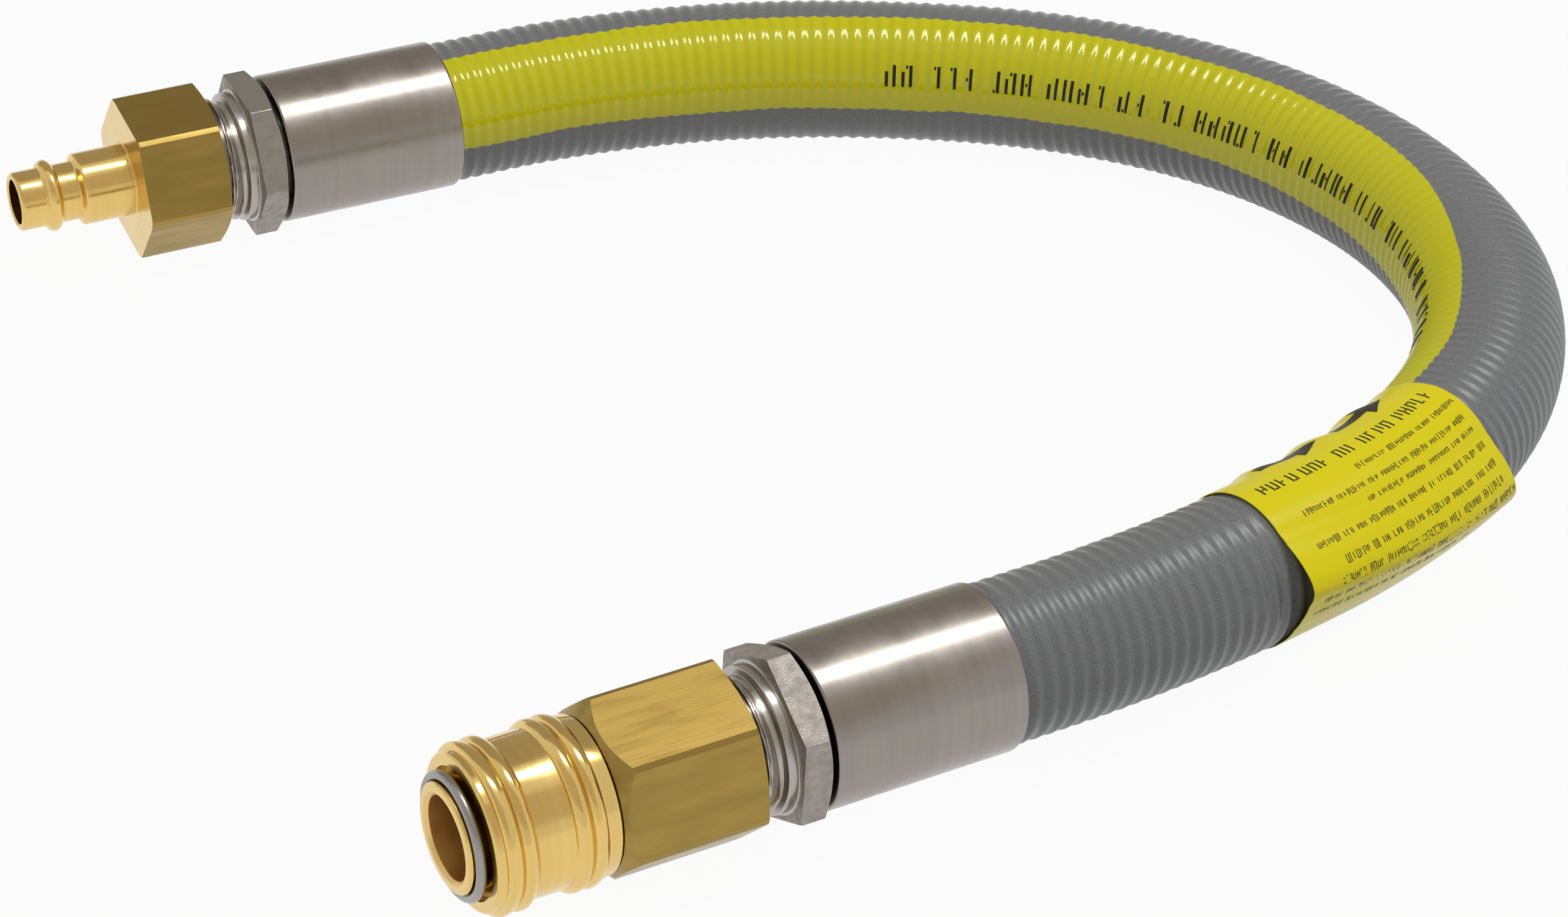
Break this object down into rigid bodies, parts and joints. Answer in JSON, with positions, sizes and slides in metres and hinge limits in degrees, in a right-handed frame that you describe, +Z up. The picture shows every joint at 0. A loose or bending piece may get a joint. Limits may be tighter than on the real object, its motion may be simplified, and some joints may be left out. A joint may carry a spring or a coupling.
{
  "type": "flexible gas hose",
  "caption": "Short ribbed gas hose lying in a wide U, with crimped ferrules, a self-sealing ball-lock quick coupler at one end and the matching plug at the other.",
  "frame": {"origin": "on the floor, midway between the two ends' metal fittings", "axes": "+Z up, +X along the coupler's axis from its mouth towards the hose, +Y from the coupler to the plug"},
  "size_m": [0.2288, 0.221, 0.0276],
  "materials": {
    "brass_polished": "turned and polished",
    "brass_bar": "satin drawn bar, turned ends polished",
    "steel": "zinc-plated, turned, matte hexagon",
    "stainless": "satin turned",
    "spring_steel": "bright drawn",
    "seal_rubber": "moulded, matte",
    "liner_rubber": "extruded, matte",
    "hose_pvc": "satin grey with a yellow stripe and fine ribs",
    "label_film": "satin yellow film with plain print bars"
  },
  "bodies": {
    "hose": {"coupler_front_body": "brass_polished", "retaining_ring": "spring_steel", "sleeve_spring": "spring_steel", "valve_spring": "spring_steel", "body_seal": "seal_rubber", "coupler_rear_body": "brass_bar", "front_nipple": "steel", "front_ferrule": "stainless", "hose_cover": "hose_pvc", "hose_liner": "liner_rubber", "label": "label_film", "rear_ferrule": "stainless", "rear_nipple": "steel", "plug_adapter": "brass_bar"},
    "sleeve": {"coupler_sleeve": "brass_polished"},
    "valve": {"valve_plunger": "brass_polished", "valve_seal": "seal_rubber", "plug_seal": "seal_rubber"},
    "ball_1": {"locking_ball_1": "spring_steel"},
    "ball_2": {"locking_ball_2": "spring_steel"},
    "ball_3": {"locking_ball_3": "spring_steel"},
    "ball_4": {"locking_ball_4": "spring_steel"},
    "ball_5": {"locking_ball_5": "spring_steel"},
    "ball_6": {"locking_ball_6": "spring_steel"}
  },
  "joints": [
    {"name": "sleeve_slide", "type": "slide", "parent": "hose", "child": "sleeve", "axis": [-1, 0, 0], "range_m": [0, 0.0024], "deforming": ["sleeve_spring"]},
    {"name": "valve_slide", "type": "slide", "parent": "hose", "child": "valve", "axis": [1, 0, 0], "range_m": [0, 0.006], "stiffness_N_per_m": 800, "springref_m": -0.006, "deforming": ["valve_spring"]},
    {"name": "ball_1_slide", "type": "slide", "parent": "hose", "child": "ball_1", "axis": [0, 0, -1], "range_m": [0, 0.001]},
    {"name": "ball_2_slide", "type": "slide", "parent": "hose", "child": "ball_2", "axis": [0, 0.866, -0.5], "range_m": [0, 0.001]},
    {"name": "ball_3_slide", "type": "slide", "parent": "hose", "child": "ball_3", "axis": [0, 0.866, 0.5], "range_m": [0, 0.001]},
    {"name": "ball_4_slide", "type": "slide", "parent": "hose", "child": "ball_4", "axis": [0, 0, 1], "range_m": [0, 0.001]},
    {"name": "ball_5_slide", "type": "slide", "parent": "hose", "child": "ball_5", "axis": [0, -0.866, 0.5], "range_m": [0, 0.001]},
    {"name": "ball_6_slide", "type": "slide", "parent": "hose", "child": "ball_6", "axis": [0, -0.866, -0.5], "range_m": [0, 0.001]}
  ],
  "couplings": [
    {"joint": "valve_slide", "follows": "sleeve_slide", "ratio": 2.5},
    {"joint": "ball_1_slide", "follows": "sleeve_slide", "ratio": 0.41666},
    {"joint": "ball_2_slide", "follows": "sleeve_slide", "ratio": 0.41666},
    {"joint": "ball_3_slide", "follows": "sleeve_slide", "ratio": 0.41666},
    {"joint": "ball_4_slide", "follows": "sleeve_slide", "ratio": 0.41666},
    {"joint": "ball_5_slide", "follows": "sleeve_slide", "ratio": 0.41666},
    {"joint": "ball_6_slide", "follows": "sleeve_slide", "ratio": 0.41666}
  ]
}
